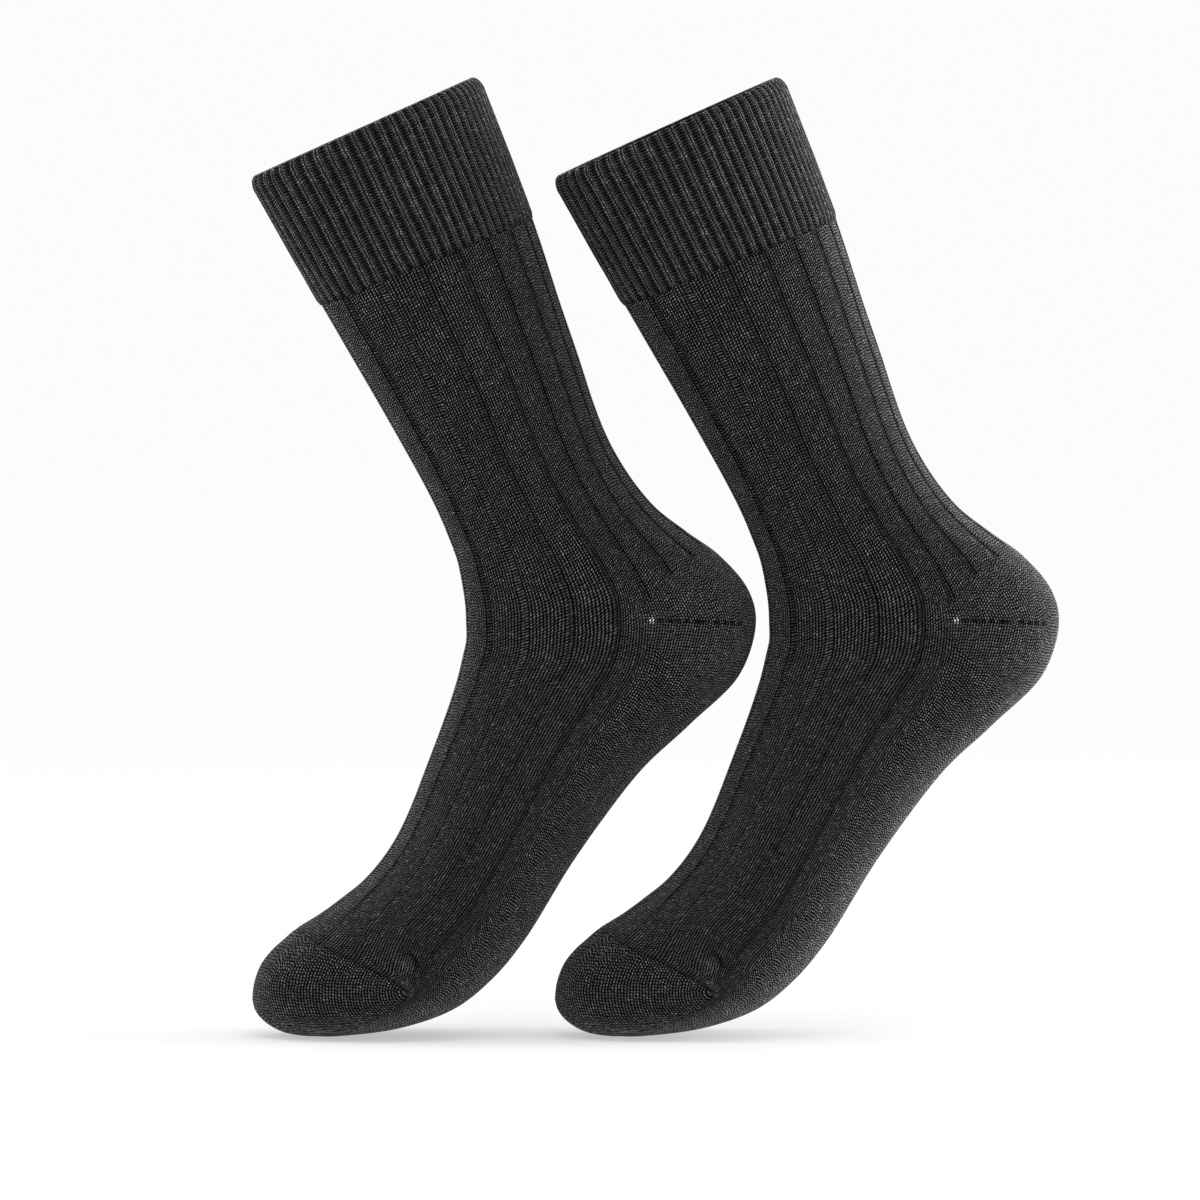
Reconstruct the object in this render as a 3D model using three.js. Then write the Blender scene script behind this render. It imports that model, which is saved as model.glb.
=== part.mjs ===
// A pair of ribbed crew socks, filled out and standing on tiptoe with no wearer in them.
// Each sock is one knitted tube: cuff, leg, heel pocket, foot and toe pocket. Millimetres, +Z up.
// +X points from the leg's shin side to its calf side, and the socks stand side by side along X.
// The origin lies midway between the centres of the two leg openings.
import * as THREE from "three";

const SOCK_SPACING = 121.2; // from one sock to the same point of the other, along X
const SEAM_GAP = 0.3;
const CHARCOAL = 0x2b2b2b;

// The cloth: a plain inside, and an outside with ribs parted by sunk grooves.
const CLOTH_THICKNESS = 1.6;
const CUFF_STANDS_PROUD = 0.7;
const CUFF_GROOVE_DEPTH = 0.9;
const LEG_GROOVE_DEPTH = 0.6;
const LEG_GROOVE_HALF_WIDTH = 0.13; // as a share of one rib
// The turned edge at the opening rounds over and leans in: one row for each step down from it.
const RIM_OUTSIDE = [
  // below the edge, set in, share of the groove's depth
  [0, 3.1, 0.3],
  [0.7, 1.9, 0.6],
  [2.2, 0.8, 0.9],
  [5, 0, 1],
];
const RIM_INSIDE = [
  // below the edge, depth in the cloth
  [5, CLOTH_THICKNESS],
  [0.9, 3.4],
];

// Places round the sock are counted in ribs from the middle of the shin: 18 wide ribs go all round.
const RIBS_ROUND = 18;
const BACK_RIB = RIBS_ROUND / 2;
const INSTEP_HALF = 4.5; // the middle nine ribs run on over the foot
const POCKET_CORNER = 5.2; // the heel pocket's gore ends here, on each side
const CUFF_RIBS_ROUND = 60;

// One row for each section of the tube, from the opening to the tip of the toe, in the sock's own
// frame with its origin at the centre of the leg opening. shin and calf are the section's front and
// back points: over the foot they are its top and its sole. halfBreadth is across the sock. sole
// widens the calf or sole side, full makes the section boxier, and point carries the sides of the
// section back along +X to a corner, as the seam of the toe pocket runs.
const SECTIONS = [
  // shinX, shinZ, calfX, calfZ, halfBreadth, sole, full, point
  [-48.5, -18.4, 43.0, 23.0, 45.0, 0.0, 0.0, 0.0],
  [-19.6, -69.0, 64.8, -34.0, 42.5, 0.0, 0.0, 0.0],
  [7.0, -114.6, 82.2, -86.8, 38.0, 0.0, 0.0, 0.0],
  [24.6, -146.6, 96.2, -124.6, 33.5, 0.0, 0.03, 0.0],
  [31.8, -162.6, 112.0, -147.8, 31.5, 0.0, 0.08, 0.0],
  [34.6, -170.6, 126.2, -159.4, 31.5, 0.0, 0.14, 0.0],
  [36.6, -180.6, 139.4, -169.0, 32.0, 0.0, 0.2, 0.0],
  [37.8, -188.6, 151.0, -182.6, 32.5, 0.0, 0.24, 0.0],
  [38.2, -196.6, 154.2, -195.4, 33.0, 0.02, 0.25, 0.0],
  [38.2, -202.6, 147.8, -216.6, 33.5, 0.03, 0.23, 0.0],
  [37.0, -208.6, 127.8, -236.6, 34.5, 0.04, 0.2, 0.0],
  [34.6, -218.6, 107.8, -255.4, 36.5, 0.06, 0.16, 0.0],
  [23.4, -250.6, 81.8, -290.6, 41.5, 0.08, 0.1, 0.0],
  [9.8, -282.6, 61.8, -322.6, 45.5, 0.1, 0.08, 0.0],
  [-2.2, -298.6, 48.6, -338.6, 46.5, 0.1, 0.08, 0.0],
  [-11.4, -306.2, 33.8, -350.2, 46.7, 0.1, 0.09, 8.0],
  [-20.2, -312.6, 11.8, -358.0, 46.5, 0.09, 0.1, 22.0],
  [-29.8, -318.6, -14.2, -361.4, 45.5, 0.07, 0.1, 36.5],
  [-35.0, -323.0, -21.0, -361.4, 44.0, 0.05, 0.1, 27.4],
  [-39.8, -327.4, -28.2, -361.0, 40.5, 0.03, 0.1, 18.0],
  [-43.8, -332.6, -35.8, -359.4, 33.0, 0.0, 0.1, 10.0],
  [-46.4, -339.0, -42.6, -355.4, 21.5, 0.0, 0.1, 4.0],
  [-47.2, -343.4, -46.2, -351.0, 11.0, 0.0, 0.1, 1.5],
  [-47.4, -347.0, -47.4, -347.0, 0.0, 0.0, 0.0, 0.0],
];

// Stations along the tube are row numbers of the table above, and may lie between two rows.
const MOUTH = 0;
const CUFF_END = 1;
const GORE = 8;
const TOE_SEAM = 17;
const TIP = 23;
const CORNER_ROUNDING = 0.2; // of the toe pocket's side corners, as a share of their reach
const POCKET_TOP = 5.35; // where the heel pocket's two edges cross the back of the sock
const POCKET_BOTTOM = 9.9;

// How the ribs lie round the sock: edge is the angle from the shin to the last instep groove, in
// degrees, and the two drifts crowd the instep ribs and the back ribs toward one side.
const RIB_LINES = [
  // station, edge, instepDrift, backDrift
  [0, 107, 0.045, 0.03],
  [3, 106, 0.045, 0.03],
  [4, 103, 0.02, -0.04],
  [6, 95, 0.02, -0.13],
  [9, 90, 0.02, -0.1],
  [11, 103, 0.02, 0.0],
  [13, 102, -0.02, 0.0],
  [17, 100, -0.02, 0.0],
  [23, 100, -0.02, 0.0],
];

// Smooth curves through the table's rows
const throughRows = (pick) =>
  new THREE.CatmullRomCurve3(SECTIONS.map(pick), false, "centripetal");
const shinLine = throughRows(([x, z]) => new THREE.Vector3(x, 0, z));
const calfLine = throughRows(([, , x, z]) => new THREE.Vector3(x, 0, z));
const breadths = throughRows(([, , , , half, , , point]) => new THREE.Vector3(half, point, 0));
const fullness = throughRows(([, , , , , sole, full]) => new THREE.Vector3(sole, full, 0));
const onCurve = (curve, station) => curve.getPoint(station / TIP);

// The rib table's columns at a station, on straight lines between its rows.
function ribLinesAt(station) {
  const next = Math.max(1, RIB_LINES.findIndex(([start]) => start >= station));
  const [low, high] = [RIB_LINES[next - 1], RIB_LINES[next]];
  const share = (station - low[0]) / (high[0] - low[0]);
  return low.map((value, column) => THREE.MathUtils.lerp(value, high[column], share)).slice(1);
}

// The angle round the section, from the shin, of a place that is counted in ribs.
function ribAngle(station, rib) {
  const [edgeDegrees, instepDrift, backDrift] = ribLinesAt(station);
  const edge = THREE.MathUtils.degToRad(edgeDegrees);
  const turned = rib > BACK_RIB ? rib - RIBS_ROUND : rib;
  const away = Math.abs(turned);
  const spread = (share, drift) => share + drift * Math.sin(Math.PI * share);
  const angle =
    away <= INSTEP_HALF
      ? edge * spread(away / INSTEP_HALF, instepDrift)
      : edge + (Math.PI - edge) * spread((away - INSTEP_HALF) / INSTEP_HALF, backDrift);
  return turned < 0 ? 2 * Math.PI - angle : angle;
}

// A straight rise from 0 to 1 that is rounded off at its top.
function roundedRise(share) {
  const top = Math.hypot(1, CORNER_ROUNDING);
  return (top - Math.hypot(1 - share, CORNER_ROUNDING)) / (top - CORNER_ROUNDING);
}

// A point of the cloth's outer face, with the ribs' tops and no grooves.
function facePoint(station, rib) {
  const shin = onCurve(shinLine, station);
  const calf = onCurve(calfLine, station);
  const { x: halfBreadth, y: point } = onCurve(breadths, station);
  const { x: sole, y: full } = onCurve(fullness, station);
  const angle = ribAngle(station, rib);
  const cos = Math.cos(angle);
  const cornerCos = Math.cos(THREE.MathUtils.degToRad(ribLinesAt(station)[0]));
  const toCorner = cos > cornerCos ? (1 - cos) / (1 - cornerCos) : (1 + cos) / (1 + cornerCos);
  const carried = point * roundedRise(toCorner);
  const across = halfBreadth * Math.sin(angle) * (1 - sole * cos + full * cos * cos);
  const place = shin.clone().add(calf).multiplyScalar(0.5);
  place.addScaledVector(shin.sub(calf), cos / 2);
  return place.add(new THREE.Vector3(carried, -across, 0));
}

const PROBE = 0.02; // the step along and round the tube that a face's slope is taken over

function faceNormal(station, rib) {
  const along = facePoint(Math.min(station + PROBE, TIP), rib).sub(
    facePoint(Math.max(station - PROBE, 0), rib),
  );
  const round = facePoint(station, rib + PROBE).sub(facePoint(station, rib - PROBE));
  return along.cross(round).normalize();
}

// The point a given depth inside the outer face. The tip has no slope of its own: it looks along -X.
function clothPoint(station, rib, depth) {
  const normal = station >= TIP ? new THREE.Vector3(-1, 0, 0) : faceNormal(station, rib);
  return facePoint(station, rib).addScaledVector(normal, -depth);
}

// How far along the table an edge moves where it is set back by a distance in millimetres. The edge
// is a station for each place round the sock, and the distance is measured square to its line.
const FLATTEST = 0.25; // the least slope counted between an edge and the lines along the tube

function setBack(distance, edge, rib) {
  const station = edge(rib);
  const along = facePoint(station + PROBE, rib).sub(facePoint(station - PROBE, rib));
  const before = facePoint(edge(rib - PROBE), rib - PROBE);
  const tangent = facePoint(edge(rib + PROBE), rib + PROBE).sub(before).normalize();
  const reach = along.length();
  const slope = Math.max(FLATTEST, along.cross(tangent).length() / reach);
  return (distance * 2 * PROBE) / (reach * slope);
}

// The edges of the heel pocket: both leave the gore's corner and part toward the back of the sock.
function pocketEdge(rib, backStation) {
  const fromBack = Math.abs(rib - BACK_RIB) / (BACK_RIB - POCKET_CORNER);
  const share = Math.sqrt(Math.max(0, 1 - fromBack));
  return GORE + (backStation - GORE) * share;
}

const legEnd = (rib) => pocketEdge(rib, POCKET_TOP);
const footStart = (rib) => pocketEdge(rib, POCKET_BOTTOM);

// Lists of places round the sock, in ribs. Near the gore's corners, where the heel pocket's edges turn
// sharply, the leg, the heel and the foot share the same close places.
const CORNER_PLACES = [0, 0.07, 0.17, 0.3, 0.43].map((step) => POCKET_CORNER + step);
const bothSides = (places) => [...places, ...places.map((rib) => RIBS_ROUND - rib)];
const inOrder = (places) =>
  [...new Set(places.map((rib) => Math.round(rib * 1000) / 1000))].sort((a, b) => a - b);
const evenRibs = (count) => Array.from({ length: count }, (_, i) => (i * RIBS_ROUND) / count);
const halfRibs = evenRibs(2 * RIBS_ROUND);

// A groove lies at the middle of each step between whole ribs, and those of the sole are left out.
const grooves = evenRibs(RIBS_ROUND).map((rib) => rib + 0.5);
const onInstep = (rib) => Math.min(rib, RIBS_ROUND - rib) <= INSTEP_HALF;
const instepGrooves = grooves.filter(onInstep);

function placesRound(grooved) {
  const sides = grooved.flatMap((rib) => [rib - LEG_GROOVE_HALF_WIDTH, rib + LEG_GROOVE_HALF_WIDTH]);
  return inOrder([...halfRibs, ...sides, ...bothSides(CORNER_PLACES)]);
}

const plainPlaces = placesRound([]);
const onHeel = (rib) => Math.abs(rib - BACK_RIB) < BACK_RIB - CORNER_PLACES.at(-1);
const heelPlaces = inOrder([...halfRibs.filter(onHeel), ...bothSides(CORNER_PLACES.slice(1))]);

// Three places to each narrow rib of the cuff: its groove, and the two sides of its top.
const PLACES_PER_CUFF_RIB = 3;
const cuffPlaces = evenRibs(CUFF_RIBS_ROUND * PLACES_PER_CUFF_RIB);
const cuffGrooves = new Set(cuffPlaces.filter((_, i) => i % PLACES_PER_CUFF_RIB === 0));

// A closed solid that is put together from rows of points: rings, or rows that stop at two sides
class Shell {
  constructor(closed = true) {
    this.closed = closed;
    this.positions = [];
    this.faces = [];
  }

  // Adds a row of points, one for each place round the sock, and keeps the places with it.
  row(places, pointAt) {
    const first = this.positions.length / 3;
    for (const rib of places) this.positions.push(...pointAt(rib).toArray());
    return places.map((rib, i) => ({ rib, index: first + i }));
  }

  // Joins two rows with triangles, going along both by place. A ring comes back to its start.
  // Where both rows have the same next place, the first row steps first, or the second if told so:
  // the walls on the two sides of a seam are then folded along the same lines.
  join(firstRow, secondRow, secondSteps = false) {
    const goRound = (row) => [...row, { rib: row[0].rib + RIBS_ROUND, index: row[0].index }];
    const [a, b] = this.closed ? [goRound(firstRow), goRound(secondRow)] : [firstRow, secondRow];
    const head = secondSteps ? 1e-6 : 0;
    let [i, j] = [0, 0];
    while (i < a.length - 1 || j < b.length - 1) {
      const firstIsNext = i < a.length - 1 && a[i + 1].rib + head <= b[j + 1]?.rib;
      const corner = [a[i].index, b[j].index];
      if (firstIsNext || j === b.length - 1) this.faces.push(...corner, a[++i].index);
      else this.faces.push(...corner, b[++j].index);
    }
  }

  skin(rows) {
    for (let i = 1; i < rows.length; i += 1) this.join(rows[i - 1], rows[i]);
  }

  // A wall: its outer rows in order, then its inner rows back again, joined at both edges.
  wall(outerRows, innerRows) {
    this.skin([...outerRows, ...innerRows]);
    this.join(innerRows.at(-1), outerRows[0], true);
    if (!this.closed) this.sides(outerRows, [...innerRows].reverse());
  }

  // The two sides of a wall whose rows are open
  sides(outerRows, innerRows) {
    const side = (place, flipped) => {
      const strip = outerRows.map((row, i) => [row.at(place).index, innerRows[i].at(place).index]);
      for (let i = 1; i < strip.length; i += 1) {
        const [[a, c], [b, d]] = [strip[i - 1], strip[i]];
        this.faces.push(...(flipped ? [a, b, c, b, d, c] : [a, c, b, b, c, d]));
      }
    };
    side(0, false);
    side(-1, true);
  }

  // Closes a ring to one point. The ring runs the other way round on the inside of a dome.
  tip(row, point, inside) {
    const top = this.positions.length / 3;
    this.positions.push(...point.toArray());
    row.forEach(({ index }, i) => {
      const next = row[(i + 1) % row.length].index;
      this.faces.push(...(inside ? [next, top, index] : [index, top, next]));
    });
  }

  mesh(name) {
    const geometry = new THREE.BufferGeometry();
    geometry.setAttribute("position", new THREE.Float32BufferAttribute(this.positions, 3));
    geometry.setIndex(this.faces);
    geometry.computeVertexNormals();
    const knit = new THREE.MeshStandardMaterial({ color: CHARCOAL, roughness: 0.95, metalness: 0 });
    const mesh = new THREE.Mesh(geometry, knit);
    mesh.name = name;
    return mesh;
  }
}

// Even shares of the way from one edge of a piece to the other, the ends included.
const shares = (count) => Array.from({ length: count + 1 }, (_, i) => i / count);

// The station of a share of the way between two edges, with half a seam gap left at each.
function between(start, end, share, rib) {
  const from = start(rib) + setBack(SEAM_GAP / 2, start, rib);
  const to = end(rib) - setBack(SEAM_GAP / 2, end, rib);
  return from + (to - from) * share;
}

const mouth = () => MOUTH + PROBE;
const cuffEnd = () => CUFF_END;
const toeSeam = () => TOE_SEAM;

// Cuff: the turned double edge in narrow ribs, thicker than the leg and rounded over at the opening
function cuff(name) {
  const shell = new Shell();
  const belowMouth = (below, rib) => MOUTH + setBack(below, mouth, rib);
  const aboveLeg = (rib) => CUFF_END - setBack(SEAM_GAP / 2, cuffEnd, rib);
  const sunk = (rib, share) => (cuffGrooves.has(rib) ? CUFF_GROOVE_DEPTH * share : 0);
  const outside = (station, rib, inset, share) =>
    clothPoint(station, rib, inset - CUFF_STANDS_PROUD + sunk(rib, share));
  const outerRows = [
    ...RIM_OUTSIDE.map(([below, inset, share]) =>
      shell.row(cuffPlaces, (rib) => outside(belowMouth(below, rib), rib, inset, share)),
    ),
    shell.row(cuffPlaces, (rib) => outside(aboveLeg(rib), rib, 0, 1)),
  ];
  const innerRows = [
    shell.row(halfRibs, (rib) => clothPoint(aboveLeg(rib), rib, CLOTH_THICKNESS)),
    ...RIM_INSIDE.map(([below, depth]) =>
      shell.row(halfRibs, (rib) => clothPoint(belowMouth(below, rib), rib, depth)),
    ),
  ];
  shell.wall(outerRows, innerRows);
  return shell.mesh(name);
}

// A stretch of ribbed tube between two edges, each given as a station for each place round the sock
function stretch(name, { start, end, grooved, outerSteps, innerSteps }) {
  const shell = new Shell();
  const sunk = new Set(grooved);
  const lay = (places, share, depthAt) =>
    shell.row(places, (rib) => clothPoint(between(start, end, share, rib), rib, depthAt(rib)));
  const outside = (rib) => (sunk.has(rib) ? LEG_GROOVE_DEPTH : 0);
  const outerRows = shares(outerSteps).map((share) => lay(placesRound(grooved), share, outside));
  const inside = () => CLOTH_THICKNESS;
  const innerRows = shares(innerSteps).map((share) => lay(plainPlaces, 1 - share, inside));
  shell.wall(outerRows, innerRows);
  return shell.mesh(name);
}

const leg = (name) =>
  stretch(name, { start: cuffEnd, end: legEnd, grooved: grooves, outerSteps: 9, innerSteps: 7 });

const foot = (name) =>
  stretch(name, { start: footStart, end: toeSeam, grooved: instepGrooves, outerSteps: 11, innerSteps: 7 });

const HEEL_STEPS = 8;

// Heel pocket: a plain dome between the leg and the sole, pinched to a corner at each end of its gore
function heel(name) {
  const shell = new Shell(false);
  const steps = shares(HEEL_STEPS);
  const lay = (share, depth) =>
    shell.row(heelPlaces, (rib) => clothPoint(between(legEnd, footStart, share, rib), rib, depth));
  const outerRows = steps.map((share) => lay(share, 0));
  const innerRows = steps.map((share) => lay(1 - share, CLOTH_THICKNESS));
  shell.wall(outerRows, innerRows);
  return shell.mesh(name);
}

// Toe pocket: plain, from its seam to the closed tip. Past the seam it has a ring at each section of
// the table, and between them on the inside.
function toe(name) {
  const shell = new Shell();
  const seamGap = (rib) => setBack(SEAM_GAP / 2, toeSeam, rib);
  const atSeam = (places, depth) =>
    shell.row(places, (rib) => clothPoint(TOE_SEAM + seamGap(rib), rib, depth));
  const past = (sections, depth) =>
    shell.row(halfRibs, (rib) => clothPoint(TOE_SEAM + sections, rib, depth));
  const outerRows = [atSeam(placesRound(instepGrooves), 0), ...[1, 2, 3, 4, 5].map((n) => past(n, 0))];
  const innerRows = [
    ...[4.5, 3.5, 2.5, 1.5].map((n) => past(n, CLOTH_THICKNESS)),
    atSeam(plainPlaces, CLOTH_THICKNESS),
  ];
  shell.skin(outerRows);
  shell.skin(innerRows);
  shell.join(innerRows.at(-1), outerRows[0], true);
  shell.tip(outerRows.at(-1), clothPoint(TIP, 0, 0), false);
  shell.tip(innerRows[0], clothPoint(TIP, 0, CLOTH_THICKNESS), true);
  return shell.mesh(name);
}

function sock(name) {
  const group = new THREE.Group();
  group.add(cuff(`${name}_cuff`), leg(`${name}_leg`), heel(`${name}_heel`));
  group.add(foot(`${name}_foot`), toe(`${name}_toe`));
  return group;
}

const frontSock = sock("front_sock");
frontSock.position.x = -SOCK_SPACING / 2;
const rearSock = sock("rear_sock");
rearSock.position.x = SOCK_SPACING / 2;

const pair = new THREE.Group();
pair.add(frontSock, rearSock);

export default pair;
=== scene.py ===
import math

import bpy
import numpy as np
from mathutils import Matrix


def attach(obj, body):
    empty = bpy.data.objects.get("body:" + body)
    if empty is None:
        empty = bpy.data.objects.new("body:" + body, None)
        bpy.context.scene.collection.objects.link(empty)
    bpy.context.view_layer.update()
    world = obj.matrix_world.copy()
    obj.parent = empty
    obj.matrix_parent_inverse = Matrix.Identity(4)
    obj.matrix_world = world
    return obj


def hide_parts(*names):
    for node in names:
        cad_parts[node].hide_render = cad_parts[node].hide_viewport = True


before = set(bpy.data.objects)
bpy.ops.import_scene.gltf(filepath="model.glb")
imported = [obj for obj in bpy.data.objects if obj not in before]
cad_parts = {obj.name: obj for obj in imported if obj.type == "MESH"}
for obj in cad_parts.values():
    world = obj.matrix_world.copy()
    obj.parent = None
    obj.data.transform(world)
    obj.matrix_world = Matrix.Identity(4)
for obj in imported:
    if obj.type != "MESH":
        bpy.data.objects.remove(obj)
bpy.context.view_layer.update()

# Cuffs. The top of each sock is a turned double edge of charcoal cotton yarn, knitted in a narrow rib of
# one face wale and two purl wales, sixty ribs round. It is worked in one with the leg, grips the calf,
# and rounds over at the opening. Every part of a sock lies on the same tube, whose form starts here.
SOCKS = {"front_sock": -60.6, "rear_sock": 60.6}  # each sock's place along X, in millimetres

# Sections of the tube from the opening to the tip of the toe, in millimetres in the sock's own frame.
# sole makes a section broader behind, full makes it squarer, and point carries its sides to the heel.
TUBE = np.array([
    # shin_x, shin_z, calf_x, calf_z, half_breadth, sole, full, point
    [-48.5, -18.4, 43.0, 23.0, 45.0, 0.0, 0.0, 0.0],
    [-19.6, -69.0, 64.8, -34.0, 42.5, 0.0, 0.0, 0.0],
    [7.0, -114.6, 82.2, -86.8, 38.0, 0.0, 0.0, 0.0],
    [24.6, -146.6, 96.2, -124.6, 33.5, 0.0, 0.03, 0.0],
    [31.8, -162.6, 112.0, -147.8, 31.5, 0.0, 0.08, 0.0],
    [34.6, -170.6, 126.2, -159.4, 31.5, 0.0, 0.14, 0.0],
    [36.6, -180.6, 139.4, -169.0, 32.0, 0.0, 0.2, 0.0],
    [37.8, -188.6, 151.0, -182.6, 32.5, 0.0, 0.24, 0.0],
    [38.2, -196.6, 154.2, -195.4, 33.0, 0.02, 0.25, 0.0],
    [38.2, -202.6, 147.8, -216.6, 33.5, 0.03, 0.23, 0.0],
    [37.0, -208.6, 127.8, -236.6, 34.5, 0.04, 0.2, 0.0],
    [34.6, -218.6, 107.8, -255.4, 36.5, 0.06, 0.16, 0.0],
    [23.4, -250.6, 81.8, -290.6, 41.5, 0.08, 0.1, 0.0],
    [9.8, -282.6, 61.8, -322.6, 45.5, 0.1, 0.08, 0.0],
    [-2.2, -298.6, 48.6, -338.6, 46.5, 0.1, 0.08, 0.0],
    [-11.4, -306.2, 33.8, -350.2, 46.7, 0.1, 0.09, 8.0],
    [-20.2, -312.6, 11.8, -358.0, 46.5, 0.09, 0.1, 22.0],
    [-29.8, -318.6, -14.2, -361.4, 45.5, 0.07, 0.1, 36.5],
    [-35.0, -323.0, -21.0, -361.4, 44.0, 0.05, 0.1, 27.4],
    [-39.8, -327.4, -28.2, -361.0, 40.5, 0.03, 0.1, 18.0],
    [-43.8, -332.6, -35.8, -359.4, 33.0, 0.0, 0.1, 10.0],
    [-46.4, -339.0, -42.6, -355.4, 21.5, 0.0, 0.1, 4.0],
    [-47.2, -343.4, -46.2, -351.0, 11.0, 0.0, 0.1, 1.5],
    [-47.4, -347.0, -47.4, -347.0, 0.0, 0.0, 0.0, 0.0],
])
TIP = len(TUBE) - 1
CORNER_ROUNDING = 0.2  # how softly a section turns at its sides, where point carries it to the heel

# Places round the tube are counted in wide ribs from the middle of the shin, eighteen all round. edge is
# the turn at which a quarter of them has passed, and the drifts bend their lines before and behind it.
RIB_LINES = np.array([
    # station, edge in degrees, front drift, back drift
    [0, 107, 0.045, 0.03],
    [3, 106, 0.045, 0.03],
    [4, 103, 0.02, -0.04],
    [6, 95, 0.02, -0.13],
    [9, 91, 0.03, -0.1],
    [11, 102, 0.06, 0.0],
    [13, 102, -0.02, 0.0],
    [15, 97, -0.01, 0.03],
    [17, 93, 0.08, 0.12],
    [23, 93, 0.08, 0.12],
])
SMOOTHED_OVER = (-1.2, -0.6, 0, 0.6, 1.2)  # stations from a place that its rib lines are averaged over
RIBS_ROUND = 18
WALES_PER_RIB = 12
CLOTH_THICKNESS = 1.6
WANDER = 0.02  # of a wide rib, how far wales stray from their line
WANDER_LUMP = (0.3, 12)  # ribs round and millimetres along
SEAM = 0.002  # of a station, left open where two parts of the knitting meet


def on_tube(columns, station):
    """A smooth centripetal curve through two columns of the tube's table."""
    rows = TUBE[:, columns]
    knots = np.vstack([2 * rows[0] - rows[1], rows, 2 * rows[-1] - rows[-2]])
    steps = np.linalg.norm(np.diff(knots, axis=0), axis=1) ** 0.5
    row = np.clip(np.floor(station).astype(int), 0, TIP - 1)
    share = (station - row)[..., None]
    a, b, c, d = (knots[row + i] for i in range(4))
    before, here, after = (steps[row + i][..., None] for i in range(3))
    here = np.where(here < 1e-4, 1, here)
    before = np.where(before < 1e-4, here, before)
    after = np.where(after < 1e-4, here, after)
    start = ((b - a) / before - (c - a) / (before + here) + (c - b) / here) * here
    end = ((c - b) / here - (d - b) / (here + after) + (d - c) / after) * here
    bend = 3 * (c - b) - 2 * start - end
    return b + share * (start + share * (bend + share * (2 * (b - c) + start + end)))


def from_shin(place):
    """Ribs from the middle of the shin, above 0 on one side of the tube and below 0 on the other."""
    return (place + RIBS_ROUND / 2) % RIBS_ROUND - RIBS_ROUND / 2


def face_point(station, place):
    """A point of the cloth's outer face, with no ribs yet."""
    shin, calf = on_tube([0, 1], station), on_tube([2, 3], station)
    breadth, fullness = on_tube([4, 7], station), on_tube([5, 6], station)
    nearby = [station + shift for shift in SMOOTHED_OVER]
    edge, front_drift, back_drift = (
        sum(np.interp(spot, RIB_LINES[:, 0], column) for spot in nearby) / len(nearby)
        for column in RIB_LINES.T[1:]
    )
    edge = np.radians(edge)
    turned = from_shin(place)
    front = np.abs(turned) / (RIBS_ROUND / 4)
    back = front - 1
    angle = np.where(
        front <= 1,
        edge * (front + front_drift * np.sin(np.pi * front)),
        edge + (np.pi - edge) * (back + back_drift * np.sin(np.pi * back)),
    )
    angle = np.copysign(angle, turned)
    cos, corner = np.cos(angle), np.cos(edge)
    to_corner = np.where(cos > corner, (1 - cos) / (1 - corner), (1 + cos) / (1 + corner))
    top = math.hypot(1, CORNER_ROUNDING)
    carried = breadth[..., 1] * (top - np.hypot(1 - to_corner, CORNER_ROUNDING)) / (top - CORNER_ROUNDING)
    across = breadth[..., 0] * np.sin(angle) * (1 - fullness[..., 0] * cos + fullness[..., 1] * cos**2)
    middle = (shin + calf) / 2 + (shin - calf) / 2 * cos[..., None]
    return np.stack([middle[..., 0] + carried, -across, middle[..., 1]], axis=-1)


PROBE = 0.02  # the step that a face's slope is taken over


def cloth_point(station, place, depth):
    """The point that lies a given depth in from the outer face, along its slope."""
    above, below = np.maximum(station - PROBE, 0), np.minimum(station + PROBE, TIP)
    along = face_point(below, place) - face_point(above, place)
    across = face_point(station, place + PROBE) - face_point(station, place - PROBE)
    normal = np.cross(along, across)
    normal /= np.linalg.norm(normal, axis=-1, keepdims=True)
    return face_point(station, place) - normal * depth[..., None]


MIDDLE_LINE = (TUBE[:, :2] + TUBE[:, 2:4]) / 2
STATION_STEPS = np.linalg.norm(np.diff(MIDDLE_LINE, axis=0), axis=1)
ALONG = np.concatenate([[0], np.cumsum(STATION_STEPS)])  # millimetres down the tube at each station


def rows_between(start, end, share):
    """Stations that lie evenly down the tube from a start to an end."""
    start, end = (np.interp(edge, np.arange(TIP + 1), ALONG) for edge in (start, end))
    return np.interp(start + (end - start) * share, ALONG, np.arange(TIP + 1))


def walk(station, place):
    """Millimetres of cloth from the first row, down each line of stitches."""
    steps = np.linalg.norm(np.diff(face_point(station, place + 0 * station), axis=0), axis=-1)
    return np.vstack([0 * place, np.cumsum(steps, axis=0)])


CHANCES = 60
HAND = np.random.default_rng(60).normal(size=(CHANCES, CHANCES))  # the uneven pull on the yarn


def unevenness(station, place, round_step, along_step, turn=0):
    """Soft chance, mostly from -1 to 1, in lumps of the given ribs round and millimetres along."""
    count = round(RIBS_ROUND / round_step)
    x = place / round_step % count
    y = np.interp(station, np.arange(TIP + 1), ALONG) / along_step
    i, j = np.floor(x).astype(int), np.floor(y).astype(int)
    a, b = x - i, y - j
    a, b = a * a * (3 - 2 * a), b * b * (3 - 2 * b)

    def lump(column, row):
        return HAND[(column % count + turn) % CHANCES, (row + 7 * turn) % CHANCES]

    upper = lump(i, j) * (1 - a) + lump(i + 1, j) * a
    lower = lump(i, j + 1) * (1 - a) + lump(i + 1, j + 1) * a
    return (upper * (1 - b) + lower * b) / 2


def quads(grid):
    """The four corners of every cell of a grid, in the order that makes its face look outward."""
    return np.stack([grid[:-1, :-1], grid[1:, :-1], grid[1:, 1:], grid[:-1, 1:]], axis=-1).reshape(-1, 4)


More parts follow.
